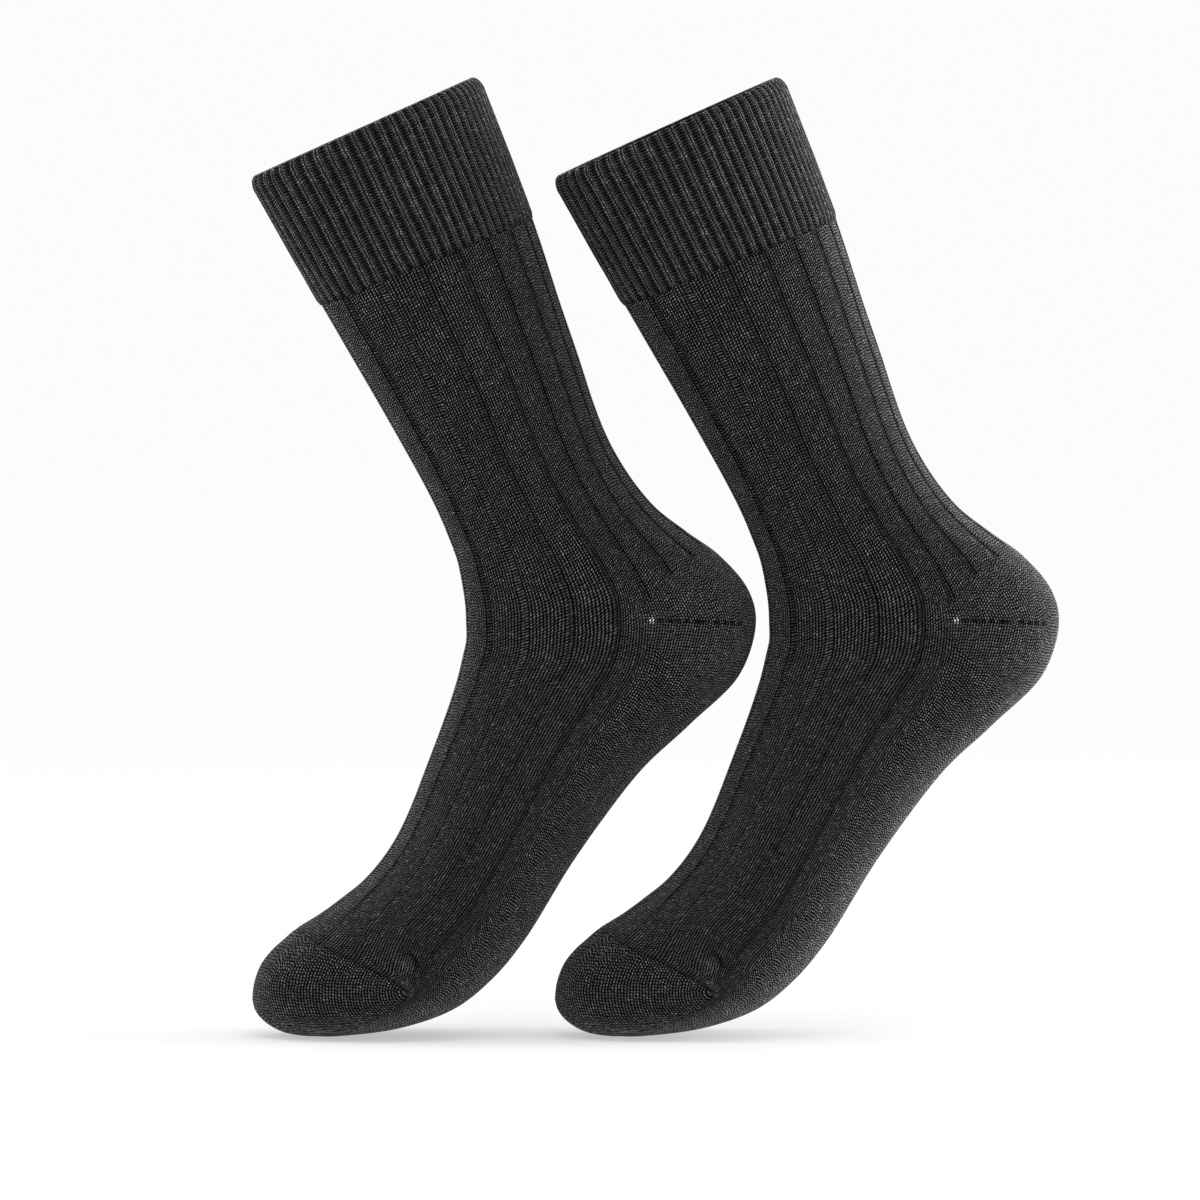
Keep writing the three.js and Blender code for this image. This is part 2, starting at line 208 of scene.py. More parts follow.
def rim(front_edge, back_edge):
    """Joins an edge of the outer face to the same edge of the back, which has fewer points."""
    step = np.arange(len(back_edge) - 1)
    spread = (len(front_edge) - 1) // len(step)
    fan = step[:, None] * spread + np.arange(spread + 1)
    return np.hstack([front_edge[fan], back_edge[step + 1, None], back_edge[step, None]])


BACK_STEP = 4  # round the tube, the back has one point for so many of the outer face
INSIDE_SHADE = 0.6  # how much light is left on the inside of a sock

# Where the faces of a part lie in its own square map, as shares of the map's side.
MAP_ACROSS = (0.01, 0.96)
MAP_OUTER = (0.01, 0.8)
MAP_BACK = (0.82, 0.93)
MAP_ENDS = (0.95, 0.96, 0.98, 0.99)  # the strips at the first and the last row, with two edges each
MAP_SIDES = (0.97, 0.98, 0.985, 0.995)  # the strips at the first and the last place
MAP_CAPS = (0.975, 0.985)  # the outer and the inner fan that close a tip
MAP_FAN = np.array([[0.2, 0.0], [0.5, 0.006], [0.8, 0.0]])  # the corners of one triangle of a fan


def wall(
    part,
    station,
    place,
    depth,
    back,
    wales,
    turn,
    courses,
    purl,
    shade,
    finish,
    kind,
):
    """Knits one part of both socks: an outer face with its ribs, a plain back, and the edges between.

    station, depth and the stitch counts have a row for each step along and a column for each place
    round. back lists the rows that the back has, and its depth in each. turn is how many wales go once
    round. kind is ring for a part that goes all round, rolled where its first row also rounds over,
    open for a pocket with two sides, and tip for one that closes at its last row.
    """
    closed = kind != "open"
    rows, back_depth = np.array(back).T
    rows = rows.astype(int)
    grid = place + WANDER * unevenness(station, place, *WANDER_LUMP)
    outer = cloth_point(station, grid, depth)
    back_station, back_grid = (values[rows][:, ::BACK_STEP] for values in (station, grid))
    inner = cloth_point(back_station, back_grid, back_depth[:, None] + 0 * back_grid)
    points = np.vstack([outer.reshape(-1, 3), inner.reshape(-1, 3)])

    def come_round(grid, turn=0):
        return np.hstack([grid, grid[:, :1] + turn]) if closed else grid

    face = come_round(np.arange(outer[..., 0].size).reshape(outer.shape[:2]))
    rear = come_round(outer[..., 0].size + np.arange(inner[..., 0].size).reshape(inner.shape[:2]))
    wide = np.linspace(*MAP_ACROSS, face.shape[1])
    tall = np.linspace(*MAP_OUTER, face.shape[0])
    behind = np.linspace(*MAP_BACK, rear.shape[0])
    layers = [
        # values on the outer face and on the back, and those of the strips at the two ends and the two sides
        (face, rear, None, None),
        (come_round(wales, turn), None, None, None),
        (come_round(courses), None, None, None),
        (np.repeat(wide[None], face.shape[0], 0), None, None, MAP_SIDES),
        (
            np.repeat(tall[:, None], face.shape[1], 1),
            np.repeat(behind[:, None], rear.shape[1], 1),
            MAP_ENDS,
            None,
        ),
    ]
    corners = []
    for outside, inside, end_levels, side_levels in layers:
        beneath = outside[rows][:, ::BACK_STEP]
        inside = beneath if inside is None else inside
        beside = beneath if end_levels else inside
        ends = [outside[0], inside[0], outside[-1], inside[-1]]
        sides = [outside[:, 0], beside[:, 0], outside[:, -1], beside[:, -1]]
        if end_levels:
            ends = [np.full(len(edge), level) for edge, level in zip(ends, end_levels)]
        if side_levels:
            sides = [np.full(len(edge), level) for edge, level in zip(sides, side_levels)]
        made = [quads(outside), quads(inside)[:, ::-1], rim(ends[0], ends[1])]
        if kind != "tip":
            made.append(rim(ends[2], ends[3])[:, ::-1])
        if kind == "open":
            made.append(rim(sides[0], sides[1])[:, ::-1])
            made.append(rim(sides[2], sides[3]))
        corners.append(made)
    faces = [f for group in corners[0] for f in group.tolist()]
    loop_highlight = [np.concatenate([group.ravel() for group in layer]) for layer in corners[1:]]
    stitch_map, bake_map = np.stack(loop_highlight[:2], axis=-1), np.stack(loop_highlight[2:], axis=-1)
    if kind == "tip":
        tip_point = face_point(np.array(float(TIP)), np.array(0.0))
        last_stitch = [[0.0, courses[-1].mean()]]
        caps = ((face[-1], 0, 1, MAP_CAPS[0]), (rear[-1], CLOTH_THICKNESS, -1, MAP_CAPS[1]))
        for ring, inset, way, level in caps:
            fan = [[a, len(points), b][::way] for a, b in zip(ring[:-1].tolist(), ring[1:].tolist())]
            points = np.vstack([points, tip_point + [inset, 0, 0]])
            faces += fan
            stitch_map = np.vstack([stitch_map, np.repeat(last_stitch, len(fan) * 3, 0)])
            corner = MAP_FAN[::way]
            cells = (np.arange(len(fan))[:, None] + corner[:, 0]) / len(fan)
            cells = MAP_ACROSS[0] + (MAP_ACROSS[1] - MAP_ACROSS[0]) * cells
            levels = level + corner[:, 1] + 0 * cells
            bake_map = np.vstack([bake_map, np.stack([cells.ravel(), levels.ravel()], axis=-1)])

    # Each rim of the wall has a mark of its own, and an edge is sharp where both its ends share one.
    edge_marks = np.zeros(len(points), int)
    for grid_of in (face, rear):
        if kind != "rolled":
            edge_marks[grid_of[0]] |= 1
        if kind != "tip":
            edge_marks[grid_of[-1]] |= 2
        if kind == "open":
            edge_marks[grid_of[:, 0]] |= 4
            edge_marks[grid_of[:, -1]] |= 8
    tips = len(points) - outer[..., 0].size - inner[..., 0].size
    inside = np.ones(inner[..., 0].size)
    purls = np.concatenate([purl.ravel(), inside, np.zeros(tips)])
    shades = np.concatenate([shade.ravel(), inside * INSIDE_SHADE, np.ones(tips)])
    for sock, across in SOCKS.items():
        mesh = bpy.data.meshes.new(f"{sock}_{part}_knit")
        mesh.from_pydata(((points + [across, 0, 0]) / 1000).tolist(), [], faces)
        mesh.shade_smooth()
        for map_name, values in (("knit", stitch_map), ("OFBake", bake_map)):
            layer = mesh.uv_layers.new(name=map_name)
            layer.uv.foreach_set("vector", values.astype(np.float32).ravel())
        for name, values in (("purl", purls), ("shade", shades)):
            attribute = mesh.attributes.new(name, "FLOAT", "POINT")
            attribute.data.foreach_set("value", values.astype(np.float32))
        ends = np.zeros(len(mesh.edges) * 2, np.int32)
        mesh.edges.foreach_get("vertices", ends)
        sharp = edge_marks[ends[::2]] & edge_marks[ends[1::2]]
        attribute = mesh.attributes.new("sharp_edge", "BOOLEAN", "EDGE")
        attribute.data.foreach_set("value", sharp > 0)
        mesh.materials.append(finish)
        piece = bpy.data.objects.new(f"{sock}_{part}_knit", mesh)
        bpy.context.scene.collection.objects.link(piece)
        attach(piece, "root")
        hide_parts(f"{sock}_{part}")


STRAY = (0.45, 1.2)  # how far stitches stray from their line, in wales and in courses
RUNG_HEIGHT = (0.41, 0.59)  # of purl stitches: how far they swing, and about what
FIBRE_STREAKS = 1.2  # how much paler or darker the yarn gets along its way
CLOUDS = 0.4  # and how much whole patches of the cloth do
PAINTED_EDGE_SHEEN = 2.3  # painted sheen: how much paler the colour is made where the cloth turns away, as the yarn's loose fibres would shine
YARN_RELIEF = 0.0005  # in metres


def knitted_yarn(name, gap, yarn, fleck, crest, half, roundness, beads, out_of_step):
    """Charcoal melange cotton in plain stitches: face stitches are pairs of slanted legs, purl ones rungs.

    gap and yarn are the greys between the yarns and on them, and fleck is how much one stitch differs
    gap is the near black painted between the yarns as their shade, yarn the grey on them, and fleck is how
    much one stitch differs from the next. crest and half give a leg's place and half width as shares of half
    a wale, roundness its section, beads how much its stitches part, and out_of_step how far wales lag behind
    each other.
    """
    finish = bpy.data.materials.new(name)
    finish.use_nodes = True
    nodes, links = finish.node_tree.nodes, finish.node_tree.links
    shader = nodes["Principled BSDF"]

    def calc(operation, *values):
        node = nodes.new("ShaderNodeMath")
        node.operation = operation
        for socket, value in zip(node.inputs, values):
            if isinstance(value, (int, float)):
                socket.default_value = value
            else:
                links.new(value, socket)
        return node.outputs[0]

    def blend(share, a, b):
        return calc("ADD", calc("MULTIPLY", a, calc("SUBTRACT", 1.0, share)), calc("MULTIPLY", b, share))

    def noise(vector, scale, detail):
        node = nodes.new("ShaderNodeTexNoise")
        node.inputs["Scale"].default_value = scale
        node.inputs["Detail"].default_value = detail
        links.new(vector, node.inputs["Vector"])
        return node

    def attribute(attribute_name):
        node = nodes.new("ShaderNodeAttribute")
        node.attribute_name = attribute_name
        return node.outputs["Fac"]

    stitches = nodes.new("ShaderNodeUVMap")
    stitches.uv_map = "knit"
    counted = nodes.new("ShaderNodeSeparateXYZ")
    links.new(stitches.outputs["UV"], counted.inputs[0])
    pull = nodes.new("ShaderNodeSeparateColor")
    links.new(noise(stitches.outputs["UV"], 0.55, 2.0).outputs["Color"], pull.inputs[0])
    wale, course = (
        calc("ADD", counted.outputs[axis], calc("MULTIPLY", calc("SUBTRACT", pull.outputs[i], 0.5), stray))
        for i, (axis, stray) in enumerate(zip("XY", STRAY))
    )

    # Across one wale: 0 on its middle line, 1 on the line it shares with the next.
    across = calc("SUBTRACT", calc("FRACT", wale), 0.5)
    aside = calc("MULTIPLY", calc("ABSOLUTE", across), 2.0)
    off_crest = calc("MINIMUM", calc("DIVIDE", calc("ABSOLUTE", calc("SUBTRACT", aside, crest)), half), 1.0)
    legs = calc("SUBTRACT", 1.0, calc("POWER", off_crest, roundness))
    lag = nodes.new("ShaderNodeTexWhiteNoise")
    lag.noise_dimensions = "1D"
    links.new(calc("FLOOR", wale), lag.inputs["W"])
    stepped = calc("MULTIPLY_ADD", lag.outputs["Value"], out_of_step, course)
    slant = calc("MULTIPLY", calc("MULTIPLY_ADD", across, 0.7, stepped), 2 * math.pi)
    face_stitch = calc("MULTIPLY", legs, calc("MULTIPLY_ADD", calc("SINE", slant), beads, 1.0 - beads))
    rung = calc("MULTIPLY_ADD", calc("SINE", calc("MULTIPLY", course, 2 * math.pi)), *RUNG_HEIGHT)
    purl_stitch = calc("MULTIPLY", rung, calc("MULTIPLY_ADD", calc("POWER", aside, 4.0), -0.5, 1.0))
    height = blend(attribute("purl"), face_stitch, purl_stitch)

    # Fibres of two greys spun together: they vary along the yarn, and one stitch differs from the next.
    cell = nodes.new("ShaderNodeCombineXYZ")
    links.new(calc("FLOOR", wale), cell.inputs[0])
    links.new(calc("FLOOR", course), cell.inputs[1])
    chance = nodes.new("ShaderNodeTexWhiteNoise")
    chance.noise_dimensions = "2D"
    links.new(cell.outputs[0], chance.inputs["Vector"])
    light_fleck = calc("MULTIPLY", calc("POWER", chance.outputs["Value"], 12.0), fleck * 1.6)
    mixed = calc("MULTIPLY_ADD", chance.outputs["Value"], fleck, 1.0 - fleck * 0.65)
    streaks = noise(stitches.outputs["UV"], 3.0, 1.0).outputs["Fac"]
    streaks = calc("MULTIPLY_ADD", streaks, FIBRE_STREAKS, -FIBRE_STREAKS / 2)
    clouds = noise(stitches.outputs["UV"], 0.06, 3.0).outputs["Fac"]
    clouds = calc("MULTIPLY_ADD", clouds, CLOUDS, 1.0 - CLOUDS / 2)
    mixed = calc("ADD", calc("ADD", mixed, light_fleck), streaks)
    mixed = calc("MAXIMUM", calc("MULTIPLY", mixed, clouds), 0.15)
    # Painted shade on the stitches: the colour falls from the yarn's grey on a crest to near black in the
    # gaps between the yarns.
    lit = calc("MULTIPLY_ADD", calc("POWER", calc("MAXIMUM", height, 0.0), 3.0), yarn - gap, gap)
    # Painted sheen: the colour gets paler where the cloth turns away from the camera, standing in for the
    # loose fibres' sheen.
    rounding = nodes.new("ShaderNodeLayerWeight")
    painted_edge_sheen = calc("MULTIPLY_ADD", calc("POWER", rounding.outputs["Facing"], 2.0), PAINTED_EDGE_SHEEN, 1.0)
    tone = calc("MULTIPLY", calc("MULTIPLY", lit, mixed), calc("MULTIPLY", attribute("shade"), painted_edge_sheen))
    colour = nodes.new("ShaderNodeCombineColor")
    for channel, cast in zip(colour.inputs, (1.0, 1.0, 1.015)):
        links.new(calc("MULTIPLY", tone, cast), channel)
    links.new(colour.outputs[0], shader.inputs["Base Color"])

    relief = nodes.new("ShaderNodeBump")
    relief.inputs["Strength"].default_value = 1.0
    relief.inputs["Distance"].default_value = YARN_RELIEF
    links.new(height, relief.inputs["Height"])
    links.new(relief.outputs["Normal"], shader.inputs["Normal"])
    shader.inputs["Roughness"].default_value = 0.92
    shader.inputs["Specular IOR Level"].default_value = 0.02
    shader.inputs["Sheen Weight"].default_value = 0.02
    shader.inputs["Sheen Roughness"].default_value = 0.2
    shader.inputs["Sheen Tint"].default_value = (0.75, 0.75, 0.77, 1.0)
    return finish


PAINTED_LIGHT_REACH = 3.5  # ribs from the middle of the back that the painted light reaches


def painted_back_light(place, paler):
    """How much paler painted light makes the yarn toward the back of the calf and of the heel."""
    return 1 + paler * np.clip(1 - np.abs(place - RIBS_ROUND / 2) / PAINTED_LIGHT_REACH, 0, 1)


CUFF_RIBS = 60
CUFF_HEIGHT = 57
COURSE = 1.2  # the height of a row of stitches, in millimetres
CUFF_COURSE = 1.1
CUFF_STANDS_PROUD = 0.7
CUFF_LADDER_DEPTH = 0.85
CUFF_LADDER = (0.18, 0.13)  # of a rib: where its ladder starts beside the face wale, and its slope
CUFF_FURROW = (0.06, 0.05)  # along the face wale: half its width, of a rib, and its depth
CUFF_DRAWN_IN = 2.4  # millimetres in which the cuff goes in to the leg
POINTS_PER_CUFF_RIB = 12
CUFF_RIM = np.array([
    # below the opening, set in, share of the ladders' depth
    [0, 3.1, 0.25],
    [0.3, 2.4, 0.45],
    [0.7, 1.85, 0.6],
    [1.3, 1.3, 0.75],
    [2.2, 0.8, 0.9],
    [3.4, 0.33, 1],
    [5, 0, 1],
])
place = np.arange(CUFF_RIBS * POINTS_PER_CUFF_RIB) * RIBS_ROUND / CUFF_RIBS / POINTS_PER_CUFF_RIB
first_step = face_point(np.array(PROBE), place) - face_point(np.array(0.0), place)
rim_station = CUFF_RIM[:, :1] / (np.linalg.norm(first_step, axis=-1) / PROBE)
share = np.linspace(0, 1, 43)[1:, None]
station = np.vstack([rim_station, rim_station[-1] + (1 - SEAM - rim_station[-1]) * share])
rim_height = CUFF_RIM[-1, 0]
below = np.concatenate([CUFF_RIM[:, 0], rim_height + (CUFF_HEIGHT - rim_height) * share[:, 0]])[:, None]
in_rib = place / (RIBS_ROUND / CUFF_RIBS) % 1 - 0.5  # across one rib, from -0.5 to 0.5
off_middle = np.abs(in_rib)
ladder = np.clip((off_middle - CUFF_LADDER[0]) / CUFF_LADDER[1], 0, 1)
ladder = ladder * ladder * (3 - 2 * ladder)
full = np.clip((CUFF_HEIGHT - below) / CUFF_DRAWN_IN, 0, 1)  # 0 at the cuff's last row, 1 all above it
deep = np.interp(below, CUFF_RIM[:, 0], CUFF_RIM[:, 2]) * (0.35 + 0.65 * full)
depth = np.interp(below, CUFF_RIM[:, 0], CUFF_RIM[:, 1]) - CUFF_STANDS_PROUD * (0.25 + 0.75 * full)
depth = depth + deep * (CUFF_LADDER_DEPTH * ladder + CUFF_FURROW[1] * (off_middle < CUFF_FURROW[0]))
depth = depth + 0.12 * unevenness(station, place, 0.3, 9, 3)
rib_number = np.floor(place / (RIBS_ROUND / CUFF_RIBS))
wales = rib_number * 3 + np.interp(in_rib, [-0.5, -0.2, 0.2, 0.5], [0, 1, 2, 3])
cuff_finish = knitted_yarn(
    "charcoal_cuff_rib",
    gap=0.008,
    yarn=0.21,
    fleck=0.45,
    crest=0.62,
    half=0.46,
    roundness=2.0,
    beads=0.3,
    out_of_step=0.5,
)
wall(
    "cuff",
    station,
    place,
    depth,
    back=[(1, 3.3), (2, 3.4), (5, 2.4), (6, 1.7), (18, 1.6), (30, 1.6), (42, 1.6), (48, 1.6)],
    wales=wales + 0 * station,
    turn=CUFF_RIBS * 3,
    courses=np.repeat(below, len(place), 1) / CUFF_COURSE,
    purl=ladder + 0 * station,
    # painted shade in the sunk ladders and in the last rows, where the cuff draws in to the leg, and painted
    # light toward the back
    shade=(1 - 0.82 * ladder) * (1 - 0.45 * (1 - full)) * painted_back_light(place, 0.45) + 0 * station,
    finish=cuff_finish,
    kind="rolled",
)

# Legs. Below the cuff the tube goes on in wide flat ribs of ten face wales, parted by sunk ladders of
# two purl wales, eighteen ribs round. It ends at the heel pocket behind and runs on to the foot in front.
CORNER = 5.2  # ribs from the shin to the corner of the heel pocket
POCKET_HALF = RIBS_ROUND / 2 - CORNER
GORE, POCKET_TOP, POCKET_BOTTOM = 7.8, 5.35, 9.9  # stations of the heel pocket's gore and edges
POINTS_PER_RIB = 30
TO_CORNER = round(CORNER * POINTS_PER_RIB)
CLOSE_POINTS = 25  # points that lie closer together where the heel pocket opens
close_places = CORNER + POCKET_HALF * (np.arange(CLOSE_POINTS) / 60) ** 2
even_places = np.arange(RIBS_ROUND // 2 * POINTS_PER_RIB + 1) / POINTS_PER_RIB
beyond = even_places[even_places > close_places[-1]]
half_round = np.concatenate([even_places[:TO_CORNER], close_places, beyond])
tube_places = np.concatenate([half_round, RIBS_ROUND - half_round[1:-1][::-1]])


def pocket_edge(place, back_station):
    """The station of an edge of the heel pocket, which leaves the gore's corner and parts toward the back."""
    from_back = np.abs(place - RIBS_ROUND / 2) / POCKET_HALF
    return GORE + (back_station - GORE) * np.sqrt(np.clip(1 - from_back, 0, 1))


# A ladder, in shares of a rib from its middle line: where it ends and its slope, then the crease along each
# of its edges, which is painted dark as shade, and half its width.
LADDER_EDGE, LADDER_SLOPE = 0.117, 0.033
CREASE_AT, CREASE_HALF = 0.1, 0.045
SHIN_LADDER = 1.5  # ribs from the shin to the ladder painted with the darkest shade along the front outline
CREASE_PAINTED_SHADE = np.array([
    # ribs off the shin, how dark the painted shade of a ladder's crease is on the side of the calf
    [2, 0.9],
    [2.001, 0.8],
    [3, 0.8],
    [4, 1.0],
    [5, 1.2],
    [6, 1.5],
])


def wide_ribs(place):
    """Shares from 0 to 1: how far a place is sunk in a ladder, its purl rungs, and the painted shade of its
    crease.
    """
    off_shin = np.abs(from_shin(place))
    side = off_shin % 1 - 0.5  # above 0 toward the calf
    sunk = np.clip((LADDER_EDGE - np.abs(side)) / LADDER_SLOPE, 0, 1)
    dark = np.where(side > 0, np.interp(off_shin, CREASE_PAINTED_SHADE[:, 0], CREASE_PAINTED_SHADE[:, 1]), 0.4)
    crease = np.clip(1 - np.abs(np.abs(side) - CREASE_AT) / CREASE_HALF, 0, 1) * dark
    rungs = sunk * np.interp(off_shin, [2.5, 4], [1, 0.5])
    by_shin = sunk * np.interp(side, [-LADDER_EDGE, 0], [0.25, 0.55])
    by_shin = np.where(np.abs(off_shin - SHIN_LADDER) < 0.5, by_shin, 0)
    return sunk, rungs, np.clip(by_shin + crease, 0, 1)


def ladder_shade(sunk, crease):
    """How much light the painted shade leaves in the sunk ladders and in their creases."""
    return (1 - 0.36 * sunk) * (1 - 0.9 * crease)


def ribbed_wales(place):
    """Wale numbers for places: ten face wales on each flat and two purl ones in each ladder."""
    return np.floor(place) * WALES_PER_RIB + np.interp(place % 1, [0, 0.4, 0.6, 1], [0, 5, 7, WALES_PER_RIB])


GORE_END = [105.5, -197.5]  # x and z of the spot before the gore, where the cloth is fluffed up
GORE_END_REACH = 6.5


def worn_patch(station, place):
    """How far the cloth is fluffed up round the end of the heel's gore, from 0 to 1."""
    points = face_point(station, place + 0 * station)
    from_end = np.hypot(points[..., 0] - GORE_END[0], points[..., 2] - GORE_END[1])
    return np.exp(-((from_end / GORE_END_REACH) ** 2))


LADDER_DEPTH = 0.3
CREASE_DEPTH = 0.3
FLUFFED = 0.25  # how much paler the fluffed-up cloth is
place = tube_places
share = np.linspace(0, 1, 97)[:, None]
station = rows_between(1 + SEAM, pocket_edge(place, POCKET_TOP) - SEAM, share)
leg_length = walk(station, place)[-1]
sunk, rungs, crease = (np.repeat(part[None], len(station), 0) for part in wide_ribs(place))
depth = LADDER_DEPTH * sunk + CREASE_DEPTH * crease
depth = depth + 0.2 * unevenness(station, place, 1, 22, 5)
shade = ladder_shade(sunk, crease) * (1 + FLUFFED * worn_patch(station, place))
leg_finish = knitted_yarn(
    "charcoal_wide_rib",
    gap=0.0004,
    yarn=0.198,
    fleck=0.5,
    crest=0.05,
    half=0.9,
    roundness=1.7,
    beads=0.39,
    out_of_step=0.7,
)
wall(
    "leg",
    station,
    place,
    depth,
    back=[(row, CLOTH_THICKNESS) for row in range(0, 97, 8)],
    wales=np.repeat(ribbed_wales(place)[None], len(station), 0),
    turn=RIBS_ROUND * WALES_PER_RIB,
    courses=walk(station, place) / COURSE,
    purl=rungs,
    # painted light makes the back of the calf paler
    shade=shade * painted_back_light(place, 0.5),
    finish=leg_finish,
    kind="ring",
)

# Heel pockets. A plain knitted pocket is worked to and fro on the back half of the tube in rows that get
# shorter and then longer again. Its two halves meet along a gore, a dotted line from the ankle's corner.
HEEL_WALES_PER_RIB = 15  # plain knit draws in more than the ribs do
CLOTH_TO_GORE = 240  # millimetres of cloth from the leg's first row
GORE_WIDTH = 0.85
GORE_FROM, GORE_TO = 5.6, 8.35  # the ribs between which the gore's holes show
LOOP_PLACE, LOOP_WIDTH, LOOP_HEIGHT = 5.54, 0.06, 0.9  # a light loop of yarn: ribs, ribs, millimetres
HEEL_STARTS = TO_CORNER + 2
place = tube_places[HEEL_STARTS : 1 - HEEL_STARTS]
steps = np.linspace(-1, 1, 65)[:, None]
up_side = RIBS_ROUND / 2 - np.abs(place - RIBS_ROUND / 2)
to_back = (up_side - CORNER) / POCKET_HALF
gore_share = (GORE - POCKET_TOP) / (POCKET_BOTTOM - POCKET_TOP) + 0.07 * to_back
eased = steps * (0.45 + 0.55 * np.abs(steps))
share = gore_share + np.where(steps < 0, gore_share, 1 - gore_share) * eased
top, bottom = pocket_edge(place, POCKET_TOP) + SEAM, pocket_edge(place, POCKET_BOTTOM) - SEAM
station = top + (bottom - top) * share
walked = walk(station, place)
from_gore = walked - walked[len(steps) // 2]
at_gore = CORNER + POCKET_HALF * to_back * (0.75 + 0.25 * to_back)
away = np.abs(steps)
wale = up_side * away + at_gore * (1 - away)
wale = np.where(place < RIBS_ROUND / 2, wale, RIBS_ROUND - wale)
on_gore = np.exp(-((from_gore / GORE_WIDTH) ** 2))
on_gore = on_gore * np.clip((GORE_TO - up_side) / 0.5, 0, 1) * np.clip((up_side - GORE_FROM) / 0.2, 0, 1)
light_loop = np.exp(-((from_gore / LOOP_HEIGHT) ** 2) - ((up_side - LOOP_PLACE) / LOOP_WIDTH) ** 2)
# The gore's holes come unevenly, here one alone and there a few run together.
holes = np.clip(0.65 + 0.5 * np.sin(up_side * 2 * np.pi * 3.4 + 2.2 * np.sin(up_side * 5)), 0, 1)
depth = 0.5 * on_gore * holes - 0.3 * light_loop + 0.2 * unevenness(station, place, 1, 22, 5)
shade = (1 - 0.97 * on_gore * holes) * (1 + 14 * light_loop) * (1 + FLUFFED * worn_patch(station, place))
heel_finish = knitted_yarn(
    "charcoal_plain_knit",
    gap=0.0004,
    yarn=0.186,
    fleck=0.5,
    crest=0.05,
    half=0.9,
    roundness=1.7,
    beads=0.34,
    out_of_step=0.5,
)
wall(
    "heel",
    station,
    place,
    depth,
    back=[(row, CLOTH_THICKNESS) for row in range(0, 65, 4)],
    wales=wale * HEEL_WALES_PER_RIB,
    turn=0,
    courses=(CLOTH_TO_GORE + from_gore) / COURSE,
    purl=0 * station,
    # painted light makes the back of the heel paler
    shade=shade * painted_back_light(place, 0.45),
    finish=heel_finish,
    kind="open",
)

# Feet. In front the wide ribs of the leg run on over the instep to the toe seam, and the sole under them is
# plain knit that starts from the lower edge of the heel pocket.
TOE_SEAM = 17
RIBS_END = 4.85  # ribs from the shin to where the instep's last ladder ends
SOLE_STARTS = 5
SOLE_HALF = RIBS_ROUND / 2 - SOLE_STARTS
SOLE_SPREAD = 0.38  # how far the sole's wales spread toward its middle by the toe
TUCK = [15.0, -330.2]  # x and z of the small bunched tuck above the seam's end
TUCK_BULGE = 2.7  # how far from there it stands up
TUCK_FOLD = 4.2  # and how far from there the fold above it lies
place = tube_places
share = np.linspace(0, 1, 121)[:, None]
start = pocket_edge(place, POCKET_BOTTOM) + SEAM
station = rows_between(start, TOE_SEAM - SEAM, share)
points = face_point(station, place + 0 * station)
walked = walk(station, place)
to_seam = walked[-1] - walked
off_shin = np.abs(from_shin(place))
under = np.clip((off_shin - SOLE_STARTS) / SOLE_HALF, 0, 1)
spread = SOLE_SPREAD * walked / walked[-1]
sole_wales = off_shin + SOLE_HALF * spread * (under**2 - under)
sole_wales = np.where(place < RIBS_ROUND / 2, sole_wales, RIBS_ROUND - sole_wales) * WALES_PER_RIB
on_instep = np.clip((RIBS_END - off_shin) / 0.2, 0, 1)
fading = np.clip((to_seam - 3) / 25, 0.1, 1)  # the ladders fade in the last 28 mm before the toe seam
sunk, rungs, crease = (part * on_instep * fading for part in wide_ribs(place))

SEAM_WIDTH = 0.7
SEAM_STRENGTH = np.array([
    # ribs off the shin, how strongly the seam shows
    [0, 0.3],
    [2, 1],
    [3.8, 1],
    [4.3, 0.5],
    [4.7, 1.2],
])


def toe_seam(distance, off_shin):
    """The linked seam over the toes: how strong its furrow is, and how open each of its stitch holes."""
    over_toes = np.clip((SOLE_STARTS - off_shin) / 0.3, 0, 1)
    strength = np.interp(off_shin, SEAM_STRENGTH[:, 0], SEAM_STRENGTH[:, 1])
    holes = 0.7 + 0.3 * np.sin(off_shin * 2 * np.pi * WALES_PER_RIB + 1.7 * np.sin(off_shin * 6))
    return np.exp(-((distance / SEAM_WIDTH) ** 2)) * over_toes * strength, holes


def seam_shade(furrow, holes):
    """How much light is left along the toe seam."""
    return 1 - 0.75 * furrow * holes


furrow, holes = toe_seam(to_seam, off_shin)
ridge = np.exp(-(((to_seam - 2.2) / 1.1) ** 2))  # the stitches that the seam pushes up beside it
ridge = ridge * np.clip((off_shin - 2.2) / 0.8, 0, 1) * np.clip((SOLE_STARTS - off_shin) / 0.4, 0, 1)
from_tuck = np.stack([points[..., 0], points[..., 2]], axis=-1) - TUCK
tuck_reach = np.linalg.norm(from_tuck, axis=-1)
uphill = np.clip(from_tuck @ [0.8, 0.6] / np.maximum(tuck_reach, 0.1), 0, 1)
bulge = np.exp(-((tuck_reach / TUCK_BULGE) ** 2))
fold = np.exp(-((tuck_reach - TUCK_FOLD) ** 2)) * uphill
# Painted highlight on the tuck's bulge and on the ridge of stitches beside the seam's end.
loop_highlight = np.clip(bulge + ridge * np.clip((off_shin - 3.4) / 0.6, 0, 1), 0, 1)
crease = crease * (1 - 0.25 * np.clip(walked / 30, 0, 1))
depth = LADDER_DEPTH * sunk + CREASE_DEPTH * crease
depth = depth + 0.2 * unevenness(station, place, 1, 22, 5)
depth = depth + 0.45 * furrow * holes - 0.3 * ridge - 0.6 * bulge + 0.6 * fold
